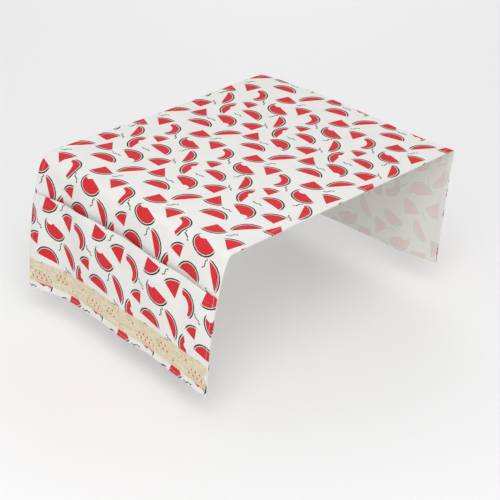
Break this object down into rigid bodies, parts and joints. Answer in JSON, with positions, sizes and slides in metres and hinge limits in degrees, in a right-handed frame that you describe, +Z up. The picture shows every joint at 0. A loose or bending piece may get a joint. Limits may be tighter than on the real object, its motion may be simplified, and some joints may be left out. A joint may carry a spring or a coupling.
{
  "type": "microwave oven cover",
  "caption": "Printed cloth strip that covers a countertop oven's top and both sides, with a sewn pocket and a crocheted lace band on each drop, open at front and back.",
  "frame": {"origin": "centre of the top panel's underside, where the cover lies on the oven's top", "axes": "+X along the strip towards the right drop, +Y from the front edge to the back edge, +Z up"},
  "size_m": [0.4957, 0.3579, 0.2175],
  "materials": {
    "printed_cloth": "plain woven cotton and linen, off-white ground printed with red and dark green fruit slices",
    "cream_lace": "crocheted cotton lace ribbon, cream"
  },
  "bodies": {
    "root": {"cover_cloth": "printed_cloth", "pocket_left": "printed_cloth", "pocket_right": "printed_cloth", "lace_left": "cream_lace", "lace_right": "cream_lace"}
  },
  "joints": []
}
